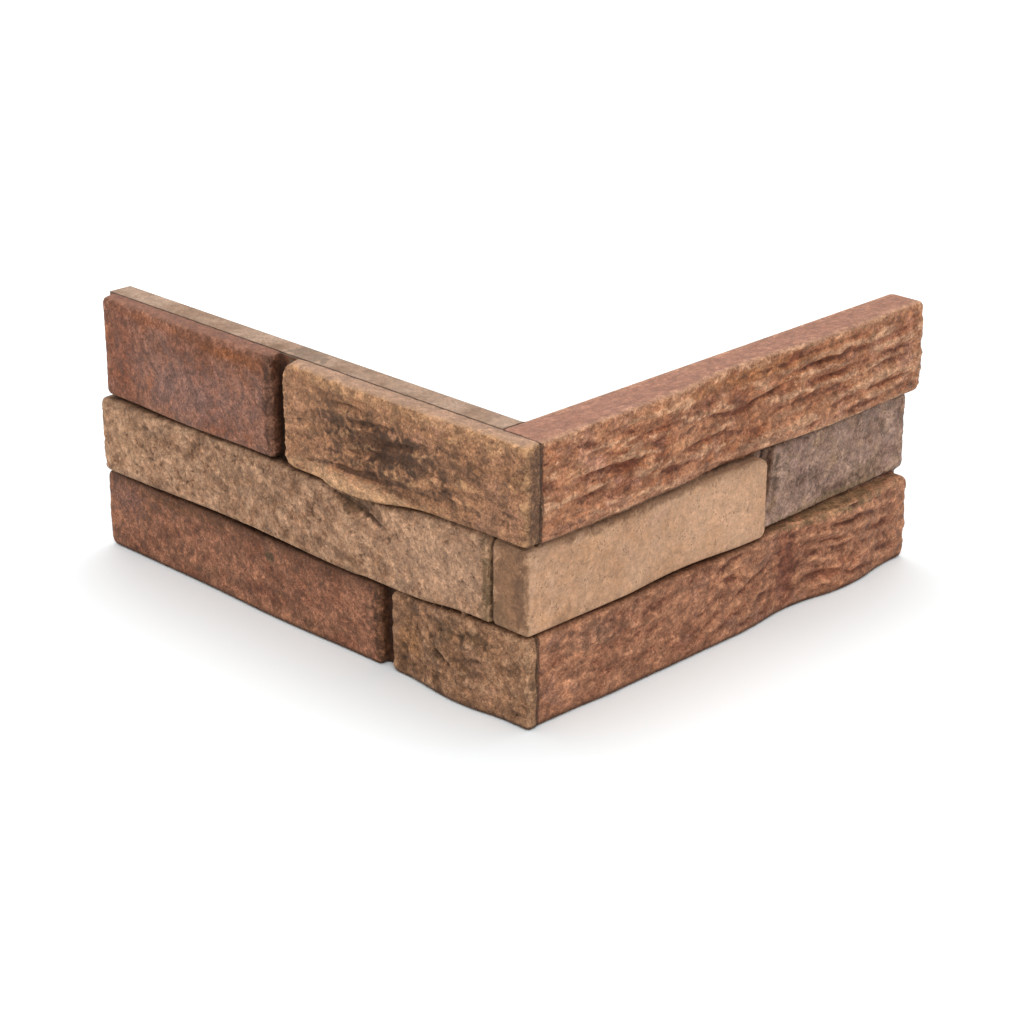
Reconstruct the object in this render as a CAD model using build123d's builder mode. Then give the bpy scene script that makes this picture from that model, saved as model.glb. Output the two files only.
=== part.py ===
# Brick veneer corner: an L-shaped panel with three courses of split-faced slips woven round its arris.
# The wall's arris stands on the Z axis. The right wing runs along +X and the left wing along +Y.
# A slip is placed by its start and stop along its wing, its depths out from the wall and its levels.
import os

from build123d import *

# Panel behind the slips
height = 100.0
left_length = 205.0
right_length = 189.0
left_backing = 9.7
right_backing = 8.0

# Bed joints: their width, and the levels of their middles, which step down along the left wing
bed_joint = 1.2
low_bed_left = 31.0
low_bed_right = 33.4
high_bed_left = 61.4
high_bed_right = 64.8
low_step = (8.0, 42.0)
high_step = (22.0, 60.0)

# Depths of the slips' faces, and how far they swell, hollow and lip
red_depth = 14.0
smooth_depth = 15.4
tan_depth = 15.5
corner_depth = 16.2
streaked_depth = 13.8
recessed_depth = 10.4
swell = 1.0
hollow = 2.4
lip_rise = 3.5
lip_height = 7.0

# Head joints: where one slip stops and the next starts
upper_left_joint = (100.5, 107.0)
lower_left_joint = (50.0, 54.5)
middle_right_joint = (104.0, 107.0)
head_slant = 7.0
corner_joint = 0.8

# Outer ends of the slips, and the stretch of the upper corner slip that has a lip
upper_left_end = 202.5
middle_left_end = 205.5
lower_left_end = 207.5
upper_right_end = 193.6
middle_right_end = 192.0
lower_right_end = 189.5
lip_start = 14.0
lip_crest = 66.0
lip_stop = 98.0

# Gouges along the split faces: each one's middle along the wing, level, length and rise in degrees
gouge_depth = 1.5
gouge_brow = 0.9
gouge_sill = 1.9
upper_corner_gouges = [(65, 92.6, 22, -1), (57, 88.6, 34, -7), (43, 84.8, 46, -9), (53, 78.8, 36, -8)]
upper_right_gouges = [
    (28, 82, 38, -3),
    (16, 89.6, 14, 0),
    (15, 75.6, 24, -2),
    (48, 89.2, 40, 1),
    (74, 77.8, 26, 3),
    (80, 84.8, 18, -4),
    (102, 84.8, 40, 9),
    (133, 91, 24, 0),
    (141, 84.6, 28, 2),
    (136, 76.8, 38, 5),
    (172, 81.6, 24, 1),
    (173, 73.8, 26, 2),
]
middle_left_gouges = [(62, 56, 26, 17)]
lower_corner_gouges = [(27, 16.5, 18, 24), (14, 25, 18, -8)]
lower_right_gouges = [
    (26, 19, 16, 6),
    (87, 23, 20, -13),
    (104, 20, 34, 16),
    (138, 21.6, 26, -6),
    (143, 26.6, 34, -5),
    (146, 15.4, 34, -11),
    (134, 10, 20, -6),
]

# Edges and seams
arris_radius = 1.5
broken_arris = 0.9
lap_radius = 2.4
end_radius = 2.9
knob_radius = 6.0
end_flat = 7.0
embed = 1.0
seam_width = 0.5
seam_depth = 0.8

# Levels of the beds on either side of each joint
half_joint = bed_joint / 2
low_left_under = low_bed_left - half_joint
low_left_over = low_bed_left + half_joint
low_right_under = low_bed_right - half_joint
low_right_over = low_bed_right + half_joint
high_left_under = high_bed_left - half_joint
high_left_over = high_bed_left + half_joint
high_right_under = high_bed_right - half_joint
high_right_over = high_bed_right + half_joint

# Planes that the slips are seated on and butt against
left_seat = left_backing - embed
right_seat = right_backing - embed
butt_start = corner_joint - left_backing


def on_left(along, out):
    return Vector(-out, along)


def on_right(along, out):
    return Vector(along, -out)


def on_elevation(along, level):
    return Vector(along, level)


# Stations spread evenly over a slip, between the flat stretches at its ends
def spread(start, stop, values):
    first = start + end_flat
    step = (stop - end_flat - first) / max(len(values) - 1, 1)
    return [(first + step * place, value) for place, value in enumerate(values)]


# A line along a wing: level at each station, with two tangent arcs wherever the next one differs
def wave(place, start, stop, stations):
    inner = stations if len(stations) > 1 else []
    ends = [(start, stations[0][1]), *inner, (stop, stations[-1][1])]
    heading = place(1, 0) - place(0, 0)
    for (near, here), (far, there) in zip(ends, ends[1:]):
        if here == there:
            Line(place(near, here), place(far, there))
        else:
            middle = place((near + far) / 2, (here + there) / 2)
            arc = TangentArc(place(near, here), middle, tangent=heading)
            TangentArc(middle, place(far, there), tangent=arc % 1)
    return place(*ends[0]), place(*ends[-1])


# Depth of a waved face at one place along its wing
def face_depth(stations, place):
    for (near, here), (far, there) in zip(stations, stations[1:]):
        if near <= place <= far:
            share = (place - near) / (far - near)
            bend = 2 * share**2 if share < 0.5 else 1 - 2 * (1 - share) ** 2
            return here + (there - here) * bend
    return stations[0][1] if place < stations[0][0] else stations[-1][1]


# A gouge is the cut of a sharp-rimmed disc, steep at its brow and easy at its sill
def gouge(wing, face, middle, mid_level, length, rise):
    disc_radius = (length / 2) ** 2 / (2 * gouge_depth)
    centre = wing(middle, face_depth(face, middle) - gouge_depth + disc_radius)
    tilt = (rise, 0, 0) if wing is on_left else (0, -rise, 0)
    with Locations(Location((centre.X, centre.Y, mid_level), tilt)):
        for slope, turn in ((gouge_brow, 0), (gouge_sill, 180)):
            Cone(
                disc_radius,
                0,
                disc_radius * slope,
                rotation=(turn, 0, 0),
                align=(Align.CENTER, Align.CENTER, Align.MIN),
                mode=Mode.SUBTRACT,
            )


# One slip: its plan has a waved face, its elevation has level or stepped beds, and its edges are rounded,
# or broken on the two long slips that are split all over.
# A start that is shut in a narrow joint stays square, with a start radius of none.
def slip(
    wing, start, stop, seat, face, lower, upper, start_radius, stop_radius, slant=0.0, gouges=(), broken=False
):
    outward, along, side, reach = (
        (Axis.X, Axis.Y, Plane.YZ, -height) if wing is on_left else (Axis.Y, Axis.X, Plane.XZ, height)
    )
    with BuildPart() as block:
        with BuildSketch():
            with BuildLine():
                near, far = wave(wing, start, stop, face)
                Polyline(near, wing(start, seat), wing(stop, seat), far)
            make_face()
        extrude(amount=height)
        with BuildSketch(side):
            with BuildLine():
                bottom_near, bottom_far = wave(on_elevation, start, stop, lower)
                top_near, top_far = wave(on_elevation, start + slant, stop, upper)
                Line(bottom_near, top_near)
                Line(bottom_far, top_far)
            make_face()
        extrude(amount=reach, mode=Mode.INTERSECT)
        if start_radius:
            fillet(block.edges().filter_by(outward).sort_by(along)[:2], start_radius)
        fillet(block.edges().filter_by(outward).sort_by(along)[-2:], stop_radius)
        front = block.edges().filter_by(Axis.Z).group_by(along)[-1].sort_by(outward)[0]
        if broken:
            chamfer(front, broken_arris)
        else:
            fillet(front, arris_radius)
        for values in gouges:
            gouge(wing, face, *values)
    return block.part


def level(value):
    return [(end_flat, value)]


# A bed of the left wing steps down from the corner towards the wing's end
def stepped(step, corner_level, wing_level):
    return [(step[0], corner_level), (step[1], wing_level)]


# Upper course
upper_left = slip(
    on_left,
    upper_left_joint[1],
    upper_left_end,
    left_seat,
    spread(upper_left_joint[1], upper_left_end, [smooth_depth, smooth_depth + swell, smooth_depth]),
    level(high_left_over),
    level(height),
    lap_radius,
    lap_radius,
)
upper_corner = slip(
    on_left,
    -corner_depth - swell,
    upper_left_joint[0],
    left_backing,
    [
        (0, corner_depth),
        (high_step[0], corner_depth + swell),
        (high_step[1], corner_depth + swell),
        (upper_left_joint[0] - end_flat, corner_depth),
    ],
    stepped(high_step, high_right_over, high_left_over),
    level(height),
    lap_radius,
    knob_radius,
    gouges=upper_corner_gouges,
)
upper_lip = slip(
    on_left,
    lip_start,
    lip_stop,
    left_backing,
    [
        (lip_start + end_flat, corner_depth - swell),
        (lip_crest, corner_depth + lip_rise),
        (lip_stop - end_flat, corner_depth - swell),
    ],
    stepped(high_step, high_right_over, high_left_over),
    stepped(high_step, high_right_over + lip_height, high_left_over + lip_height),
    lap_radius,
    lap_radius,
)
upper_right = slip(
    on_right,
    butt_start,
    upper_right_end,
    0,
    spread(
        butt_start,
        upper_right_end,
        [
            corner_depth + swell,
            corner_depth,
            streaked_depth - swell,
            streaked_depth + swell,
            streaked_depth,
        ],
    ),
    level(high_right_over),
    level(height),
    None,
    end_radius,
    gouges=upper_right_gouges,
    broken=True,
)

# Middle course
middle_left = slip(
    on_left,
    corner_joint,
    middle_left_end,
    left_seat,
    [(high_step[1], tan_depth)]
    + spread(high_step[1], middle_left_end, [tan_depth + swell, tan_depth - swell, tan_depth + swell]),
    stepped(low_step, low_right_over, low_left_over),
    stepped(high_step, high_right_under, high_left_under),
    None,
    end_radius,
    gouges=middle_left_gouges,
)
middle_corner = slip(
    on_right,
    -tan_depth,
    middle_right_joint[0],
    corner_joint,
    spread(
        -tan_depth,
        middle_right_joint[0],
        [tan_depth + swell, tan_depth + swell, tan_depth - swell, tan_depth + swell],
    ),
    level(low_right_over),
    level(high_right_under),
    lap_radius,
    end_radius,
)
middle_right = slip(
    on_right,
    middle_right_joint[1],
    middle_right_end,
    right_seat,
    spread(
        middle_right_joint[1] + head_slant,
        middle_right_end,
        [recessed_depth + swell, recessed_depth, recessed_depth - swell],
    ),
    level(low_right_over),
    level(high_right_under),
    None,
    lap_radius,
    slant=head_slant,
)

# Lower course
lower_left = slip(
    on_left,
    lower_left_joint[1],
    lower_left_end,
    left_seat,
    spread(lower_left_joint[1], lower_left_end, [red_depth, red_depth + swell, red_depth, red_depth]),
    level(0),
    level(low_left_under),
    lap_radius,
    end_radius,
)
lower_corner = slip(
    on_left,
    -corner_depth,
    lower_left_joint[0],
    left_backing,
    spread(
        -corner_depth,
        lower_left_joint[0],
        [corner_depth - hollow, corner_depth, corner_depth - hollow],
    ),
    level(0),
    stepped(low_step, low_right_under, low_left_under),
    lap_radius,
    end_radius,
    gouges=lower_corner_gouges,
)
lower_right = slip(
    on_right,
    butt_start,
    lower_right_end,
    right_seat,
    spread(
        butt_start,
        lower_right_end,
        [
            corner_depth - swell,
            corner_depth,
            corner_depth,
            corner_depth,
            corner_depth - hollow,
            corner_depth + swell,
            corner_depth - hollow,
        ],
    ),
    level(0),
    level(low_right_under),
    None,
    end_radius,
    gouges=lower_right_gouges,
    broken=True,
)

with BuildPart() as veneer_corner:
    with BuildSketch():
        with BuildLine():
            Polyline(
                (0, 0),
                (right_length, 0),
                (right_length, -right_backing),
                (-left_backing, -right_backing),
                (-left_backing, left_length),
                (0, left_length),
                close=True,
            )
        make_face()
    extrude(amount=height)
    add([upper_left, upper_corner, upper_lip, upper_right])
    add([middle_left, middle_corner, middle_right])
    add([lower_left, lower_corner, lower_right])

    # Fine seams on the upper bed: behind the left wing's slips, and where the right wing butts the left one
    with BuildSketch(Plane.XY.offset(height)):
        with Locations((-left_backing, -corner_depth - swell)):
            Rectangle(seam_width, corner_depth + swell + left_length, align=(Align.CENTER, Align.MIN))
        with Locations((-left_backing, 0)):
            Rectangle(left_backing, seam_width, align=(Align.MIN, Align.CENTER))
    extrude(amount=-seam_depth, mode=Mode.SUBTRACT)

veneer_corner.part.label = "veneer_corner"
os.makedirs("parts", exist_ok=True)
export_step(veneer_corner.part, "parts/veneer_corner.step")
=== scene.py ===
import math

import bpy
import numpy as np
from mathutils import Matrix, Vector, noise


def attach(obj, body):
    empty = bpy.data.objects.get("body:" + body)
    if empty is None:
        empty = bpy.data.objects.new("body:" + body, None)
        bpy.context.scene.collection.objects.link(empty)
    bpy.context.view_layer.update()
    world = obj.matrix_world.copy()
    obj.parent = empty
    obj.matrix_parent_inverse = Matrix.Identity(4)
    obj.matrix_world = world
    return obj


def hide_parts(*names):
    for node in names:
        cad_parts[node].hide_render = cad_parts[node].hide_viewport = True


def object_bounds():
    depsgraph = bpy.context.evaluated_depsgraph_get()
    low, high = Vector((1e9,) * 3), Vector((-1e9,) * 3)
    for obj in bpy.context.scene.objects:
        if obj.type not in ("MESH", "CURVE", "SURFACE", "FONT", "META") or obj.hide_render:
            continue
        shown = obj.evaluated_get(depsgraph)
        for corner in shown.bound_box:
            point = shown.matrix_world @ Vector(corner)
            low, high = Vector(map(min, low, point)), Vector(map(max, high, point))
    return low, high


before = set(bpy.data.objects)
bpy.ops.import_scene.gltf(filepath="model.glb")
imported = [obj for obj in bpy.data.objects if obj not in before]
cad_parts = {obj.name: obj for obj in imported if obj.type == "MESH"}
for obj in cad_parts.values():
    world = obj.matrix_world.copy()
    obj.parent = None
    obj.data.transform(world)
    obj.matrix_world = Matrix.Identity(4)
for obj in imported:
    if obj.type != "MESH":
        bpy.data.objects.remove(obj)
cadBox = [list(corner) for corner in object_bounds()]
print("frame loaded")

mm = 0.001

# Joints of the panel, in mm: along a wing from the wall's arris, and up from the floor
joints = {
    "leftSeam": -9.5,  # the left wing's slips lie in front of it
    "rightSeam": -7.8,
    "cornerSeam": -9.3,  # upper and lower courses: the left slip laps the arris, the right one butts it
    "bedJoint": 1.2,
    "lowBed": {"corner": 33.4, "left": 31.0, "step": (8, 42)},
    "highBed": {"corner": 64.8, "left": 61.4, "step": (22, 60)},
    "upperLeft": 103.7,
    "lowerLeft": 52.2,
    "middleRight": 105.5,
}

leftSeamLine = 9.7 * mm  # out from the wall, behind the left wing's slips

# Casting: one mesh made from the CAD solid, with the split faces worked into it
casting = {
    "merge": 0.005 * mm,
    "voxel": 0.5 * mm,
    "softening": 8,  # passes over the gouges and arrises
    "triangles": 190000,
    "seamWidth": 0.5 * mm,
    "seamDepth": 0.8 * mm,
    "seamReach": 0.3 * mm,
    "chipSize": 12.0,
    "footShade": 0.85,  # painted shade along the lower edge
    "wobble": 1.2,  # mm, how far the crevices stray from their paths
    "crackWidth": 0.10,
    "plainSize": 3.0,
    "plainGrain": 0.25,  # mm, on the ends and the upper bed
    "waveSize": 8.0,
    "dirtAndShade": 0.4,  # painted shade and dirt: how much deeper a crevice looks than it is, as a share of its depth
    "shade": 0.6,  # how far the broad streaks colour a face, and the fine grain
    "local": 0.7,
    "smoothing": 30,  # passes, for the even face that hollows and ridges are measured from
}

# Slips, in mm. The depth is how far the face stands from the wall.
# Relief: lumps, streaks, cracks and grain are (size along, size up, height), dents are
# (along, level, half length, half height, depth), crevices are (width, depth, path), ripples are
# (start, stop, spacing, rise in degrees, height) and rounded corners are (end, edge, length, rise).
# Chip and endWave say how far the arrises and the ends are worn.
# Colours are sRGB. A palette is (position, colour), accents are (colour, size, share), stains are
# (along, level, half length, half height, colour, share) and endStains the same on a lapping end,
# which is at lapEnd, by (out, level). Brush is (angle, stretch, strength) and pits are (size, share).
# Painted shade and grime under the joint over the slip are (share, reach), and lines are dark seams at a
# place along or out. Past openBed the slip's upper bed is open to view and takes little painted shade. Bed
# is that bed's colour in the upper course, patch the size of the colour patches, and the painted highlight
# and wear on ridges and contrast the strength of ridges and grain.
upperLeft = {
    "wing": "left",
    "depth": 15.4,
    "lumps": (26, 16, 0.22),
    "streaks": (5, 3, 0.10),
    "cracks": (9, 5, 0.12),
    "grain": (1.7, 1.7, 0.12),
    "chip": 0.15,
    "endWave": 0.3,
    "shadeAndGrime": (0.5, 1.0),
    "lines": [],
    "dents": [(150, 74, 34, 12, 0.3)],
    "crevices": [],
    "palette": [
        (0.34, (121, 75, 55)),
        (0.46, (133, 88, 68)),
        (0.56, (141, 99, 81)),
        (0.68, (149, 95, 68)),
    ],
    "creviceDirtAndShade": (84, 46, 30),
    "ridgeWearAndHighlight": (172, 126, 102),
    "bed": (133, 93, 76),
    "patch": 26,
    "brush": (62, 2.4, 0.14),
    "wearAndHighlight": 0.3,
    "contrast": 1.15,
    "pits": (2.4, 0.3),
    "accents": [((144, 84, 58), 8, 0.22), ((138, 108, 102), 12, 0.35)],
    "stains": [
        (192, 80, 14, 34, (134, 80, 56), 0.6),
        # Lighter grey-mauve centre: its colour with a painted sheen
        (150, 76, 36, 12, (143, 106, 94), 0.6),
        (126, 95, 22, 3.5, (140, 82, 44), 0.7),
        (168, 97, 26, 2.5, (142, 84, 54), 0.6),
        # Dark strip at the end by the joint: painted shade and dirt
        (108, 80, 3.6, 60, (74, 44, 28), 0.9),
    ],
}
upperCorner = {
    "wing": "left",
    "depth": 16.4,
    "lumps": (22, 12, 0.45),
    "streaks": (9, 3.6, 0.5),
    "cracks": (12, 4.5, 0.25),
    "grain": (2.0, 1.6, 0.3),
    "chip": 0.3,
    "endWave": 0.5,
    "shadeAndGrime": (0.5, 1.0),
    "lines": [("out", 9.7)],
    "dents": [(50, 84, 30, 8, 0.6)],
    "crevices": [
        (2.4, 0.3, [(75, 92.5), (64, 93.3), (56, 92.3)]),
        (2.0, 0.3, [(74, 86.5), (64, 87.3), (54, 89.6), (40, 90.5)]),
        (3.0, 0.3, [(64, 82), (50, 83.9), (35, 87), (20, 89.5), (6, 90.5)]),
        (3.0, 0.25, [(70, 76.4), (50, 79.3), (35, 81)]),
        # These two crevices along the lip's upper edge carry its painted shadow through the crevice
        # darkening
        (5.0, 0.35, [(92, 67), (80, 68.6), (66, 69), (52, 69.4), (38, 70), (26, 71)]),
        (1.6, 0.6, [(95, 67.5), (80, 69.6), (66, 70.4), (52, 70.8), (38, 71.2), (26, 72), (10, 73.5)]),
        (0.6, 0.4, [(99, 80), (88, 82)]),
        (2.0, 0.4, [(34, 76), (22, 74.5), (12, 77)]),
    ],
    "palette": [
        (0.32, (128, 88, 60)),
        (0.45, (152, 108, 78)),
        (0.57, (164, 118, 86)),
        (0.7, (176, 128, 94)),
    ],
    "creviceDirtAndShade": (80, 55, 40),
    "ridgeWearAndHighlight": (198, 152, 110),
    "bed": (170, 137, 115),
    "patch": 14,
    "brush": (10, 2.2, 0.22),
    "wearAndHighlight": 0.6,
    "contrast": 1.0,
    "pits": (2.6, 0.5),
    "accents": [((176, 124, 82), 9, 0.25), ((170, 120, 104), 14, 0.35), ((112, 80, 60), 4.5, 0.4)],
    "lapEnd": -17.2,
    "endStains": [(13, 84, 9, 80, (98, 71, 54), 0.9), (15.8, 84, 1.2, 40, (170, 124, 90), 0.6)],
    "stains": [
        (50, 82, 36, 9, (82, 56, 40), 0.95),
        (18, 84, 18, 6, (112, 82, 62), 0.5),
        (70, 91, 10, 6, (116, 84, 62), 0.5),
        # Light band on the lip's rim: painted highlight
        (64, 64.6, 40, 4.2, (206, 160, 121), 0.9),
        # Light band under the top arris: painted highlight
        (40, 97.5, 70, 1.8, (188, 142, 104), 0.5),
        # Dark line above the lip: painted shadow
        (34, 72.6, 34, 2.0, (88, 62, 46), 0.65),
        (98, 84, 14, 18, (172, 126, 94), 0.65),
        (-2, 74, 12, 14, (154, 112, 86), 0.5),
    ],
}
upperRight = {
    "wing": "right",
    "depth": 14.0,
    "lumps": (30, 12, 0.45),
    "streaks": (14, 4.0, 0.8),
    "cracks": (16, 4.2, 0.35),
    "grain": (2.4, 1.5, 0.28),
    "chip": 0.3,
    "endWave": 0.6,
    "shadeAndGrime": (0.5, 1.0),
    "lines": [("along", -8.9)],
    "ripples": [(104, 188, 5.6, 1, 0.3), (0, 72, 6.4, -3, 0.22)],
    "dents": [],
    "crevices": [
        (1.8, 0.5, [(9, 83), (23, 82.3), (36, 81.3), (47, 81)]),
        (1.6, 0.4, [(9, 89.6), (23, 89.6)]),
        (2.0, 0.5, [(28, 89), (48, 89.5), (59, 88.4), (72, 90.5)]),
        (2.0, 0.5, [(61, 77.2), (74, 77.6), (87, 78.4)]),
        (1.6, 0.4, [(71, 85.3), (89, 84.2)]),
        (2.0, 0.5, [(82, 81.6), (91, 82.4), (103, 84.9), (110, 86.4), (122, 88)]),
        (1.8, 0.5, [(121, 90.9), (133, 91), (145, 91.1)]),
        (2.0, 0.5, [(127, 84.1), (139, 84.4), (155, 85.1)]),
        (2.0, 0.5, [(117, 75), (127, 76.4), (140, 77.2), (155, 78.4)]),
        (1.6, 0.4, [(160, 81.6), (172, 81.2), (184, 82)]),
        (1.6, 0.4, [(160, 73.6), (173, 73.4), (186, 74.4)]),
        (1.5, 0.4, [(3, 76), (16, 75.4), (27, 75.4)]),
        (1.5, 0.7, [(96, 95), (112, 94.2), (124, 95.6)]),
        (1.4, 0.7, [(48, 73), (60, 72), (72, 73.4)]),
    ],
    "palette": [
        (0.32, (138, 82, 55)),
        (0.45, (159, 105, 74)),
        (0.56, (172, 119, 88)),
        (0.7, (186, 134, 100)),
    ],
    "creviceDirtAndShade": (108, 62, 45),
    "ridgeWearAndHighlight": (208, 164, 130),
    "bed": (157, 114, 97),
    "patch": 18,
    "brush": (6, 3.0, 0.28),
    "wearAndHighlight": 0.6,
    "contrast": 0.9,
    "pits": (2.4, 0.4),
    "accents": [((184, 124, 82), 9, 0.25), ((182, 134, 118), 12, 0.4)],
    "stains": [
        (60, 90, 26, 5, (132, 80, 58), 0.45),
        (100, 84, 24, 6, (140, 88, 62), 0.45),
        (90, 95, 50, 3, (178, 120, 76), 0.5),
        # Light band on the lower arris: painted highlight
        (80, 67.5, 120, 2.2, (182, 134, 106), 0.6),
        (176, 88, 10, 8, (150, 92, 70), 0.4),
    ],
}
middleLeft = {
    "wing": "left",
    "depth": 15.4,
    "lumps": (18, 12, 0.3),
    "streaks": (5, 4, 0.3),
    "cracks": (6, 5, 0.45),
    "grain": (1.9, 1.9, 0.32),
    "chip": 0.35,
    "endWave": 0.5,
    "shadeAndGrime": (0.6, 1.4),
    "lines": [],
    "dents": [(14, 48, 14, 14, 0.3)],
    "crevices": [
        (3.2, 1.2, [(74, 59.8), (66, 58), (60, 56.4), (50, 52.4)]),
        (2.4, 0.6, [(88, 59.6), (78, 59.8), (70, 58.8)]),
    ],
    "palette": [
        (0.36, (122, 88, 64)),
        (0.45, (157, 117, 89)),
        (0.53, (178, 136, 106)),
        (0.64, (196, 154, 122)),
    ],
    "creviceDirtAndShade": (76, 54, 38),
    "ridgeWearAndHighlight": (196, 157, 124),
    "patch": 7,
    "brush": (40, 1.5, 0.18),
    "wearAndHighlight": 0.5,
    "contrast": 0.85,
    "pits": (3.0, 0.6),
    "accents": [
        ((116, 85, 64), 4.6, 0.7),
        ((188, 150, 118), 8, 0.5),
        ((176, 128, 86), 9, 0.25),
        ((110, 82, 70), 9, 0.4),
    ],
    "stains": [
        (22, 48, 32, 16, (184, 144, 115), 0.85),
        (190, 46, 12, 12, (170, 130, 98), 0.5),
        (120, 50, 26, 8, (144, 110, 84), 0.4),
        # Dark strip on the rounded end: painted shade
        (2.0, 47, 2.4, 30, (116, 90, 62), 0.85),
        (64, 57, 15, 3.6, (108, 80, 58), 0.7),
    ],
}
middleCorner = {
    "wing": "right",
    "depth": 15.8,
    "lumps": (30, 18, 0.2),
    "streaks": (6, 5, 0.08),
    "cracks": (9, 7, 0.12),
    "grain": (1.6, 1.6, 0.1),
    "chip": 0.3,
    "endWave": 0.9,
    "shadeAndGrime": (0.7, 1.6),
    "lines": [("out", 0.8)],
    "rounded": [(104.2, 64.4, 4.5, 9.0)],
    "dents": [],
    "crevices": [],
    "palette": [
        (0.32, (186, 142, 110)),
        (0.45, (196, 152, 119)),
        (0.57, (202, 159, 127)),
        (0.7, (208, 166, 133)),
    ],
    "creviceDirtAndShade": (100, 68, 45),
    "ridgeWearAndHighlight": (214, 172, 136),
    "patch": 20,
    "brush": (60, 1.5, 0.07),
    "wearAndHighlight": 0.3,
    "contrast": 0.45,
    "pits": (1.2, 0.6),
    "accents": [((204, 150, 104), 9, 0.35), ((186, 150, 128), 14, 0.35)],
    "lapEnd": -15.5,
    "endStains": [
        (8, 48, 14, 80, (139, 102, 75), 0.95),
        (12.5, 50, 3.0, 16, (112, 82, 62), 0.65),
        (4, 38, 5, 5, (120, 92, 66), 0.5),
    ],
    "stains": [
        # Dark bands along the upper edge under the course above: painted shade and brown stain
        (24, 63.5, 26, 2.4, (130, 92, 64), 0.75),
        (62, 63.5, 22, 2.2, (136, 97, 68), 0.7),
        (4, 37, 12, 3, (158, 118, 88), 0.5),
        (-8, 44, 5, 12, (192, 142, 104), 0.4),
        (84, 50, 26, 14, (214, 170, 137), 0.5),
    ],
}
middleRight = {
    "wing": "right",
    "depth": 10.4,
    "lumps": (14, 10, 0.4),
    "streaks": (5, 4, 0.3),
    "cracks": (8, 6, 0.35),
    "grain": (2.0, 2.0, 0.2),
    "chip": 0.3,
    "endWave": 0.5,
    "shadeAndGrime": (0.6, 1.5),
    "lines": [],
    "dents": [(130, 46, 9, 4, 0.5), (146, 39, 8, 3.5, 0.5), (166, 40, 9, 4, 0.5)],
    "crevices": [],
    "palette": [
        (0.32, (126, 96, 80)),
        (0.45, (150, 119, 102)),
        (0.57, (164, 133, 117)),
        (0.7, (176, 143, 121)),
    ],
    "creviceDirtAndShade": (84, 60, 48),
    "ridgeWearAndHighlight": (188, 158, 140),
    "patch": 12,
    "brush": (30, 1.6, 0.16),
    "wearAndHighlight": 0.4,
    "contrast": 0.9,
    "pits": (2.4, 0.4),
    "accents": [((168, 136, 100), 9, 0.4), ((146, 114, 110), 8, 0.4)],
    "stains": [
        (146, 39, 10, 4, (116, 88, 76), 0.6),
        (166, 40, 12, 4, (122, 96, 72), 0.6),
        (130, 46, 10, 4, (120, 94, 82), 0.5),
        (176, 55, 4, 5, (114, 86, 68), 0.6),
        (150, 35.4, 44, 1.8, (136, 112, 82), 0.7),
        (112, 54, 4, 12, (84, 60, 38), 0.7),
    ],
}
lowerLeft = {
    "wing": "left",
    "depth": 14.2,
    "lumps": (28, 16, 0.3),
    "streaks": (7, 4, 0.15),
    "cracks": (8, 5, 0.2),
    "grain": (1.9, 1.9, 0.2),
    "chip": 0.3,
    "endWave": 0.3,
    "shadeAndGrime": (0.95, 2.8),
    "lines": [],
    "rounded": [(207.6, 0, 5.0, -6.0)],
    "dents": [],
    "crevices": [],
    "palette": [
        (0.34, (118, 74, 54)),
        (0.45, (138, 91, 68)),
        (0.55, (149, 102, 78)),
        (0.68, (162, 110, 82)),
    ],
    "creviceDirtAndShade": (82, 46, 30),
    "ridgeWearAndHighlight": (172, 122, 92),
    "patch": 10,
    "brush": (20, 1.8, 0.16),
    "wearAndHighlight": 0.35,
    "contrast": 1.25,
    "pits": (2.4, 0.4),
    "accents": [((112, 64, 50), 6, 0.45), ((164, 112, 84), 6, 0.4), ((122, 88, 64), 9, 0.4)],
    "stains": [
        (112, 23.8, 3, 2.4, (104, 84, 60), 0.8),
        (117, 9, 6, 4, (106, 60, 46), 0.6),
        (196, 22, 12, 8, (132, 94, 82), 0.5),
        (160, 27, 40, 2.2, (114, 76, 48), 0.6),
        # Dark strip at the end by the joint: painted shade and dirt
        (55, 16, 3.2, 40, (80, 50, 30), 0.9),
    ],
}
lowerCorner = {
    "wing": "left",
    "depth": 15.2,
    "lumps": (9, 7, 0.8),
    "streaks": (6, 4, 0.4),
    "cracks": (9, 6, 0.45),
    "grain": (2.0, 2.0, 0.25),
    "chip": 0.3,
    "endWave": 0.8,
    "shadeAndGrime": (0.5, 1.0),
    "lines": [("out", 9.7)],
    "dents": [(20, 25, 6, 4, 0.4), (8, 26, 6, 4, 0.4), (47, 8, 5, 10, 0.8)],
    "crevices": [(1.6, 0.4, [(34, 20), (28, 16.5), (18, 12)])],
    "palette": [
        (0.32, (108, 76, 52)),
        (0.45, (138, 100, 73)),
        (0.57, (156, 114, 84)),
        (0.7, (172, 127, 94)),
    ],
    "creviceDirtAndShade": (68, 48, 32),
    "ridgeWearAndHighlight": (180, 140, 108),
    "patch": 9,
    "brush": (40, 1.5, 0.2),
    "wearAndHighlight": 0.6,
    "contrast": 1.0,
    "pits": (2.8, 0.5),
    "accents": [((168, 122, 88), 8, 0.25), ((160, 120, 100), 12, 0.35), ((96, 70, 50), 5, 0.45)],
    "lapEnd": -16.2,
    "endStains": [(12, 16, 9, 40, (134, 100, 74), 0.7)],
    "stains": [
        (40, 14, 7, 6, (184, 131, 88), 0.7),
        (28, 16, 6, 4, (94, 68, 46), 0.6),
        (20, 25, 7, 3.5, (98, 72, 48), 0.6),
        (8, 26, 7, 4, (94, 70, 48), 0.6),
    ],
}
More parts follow.
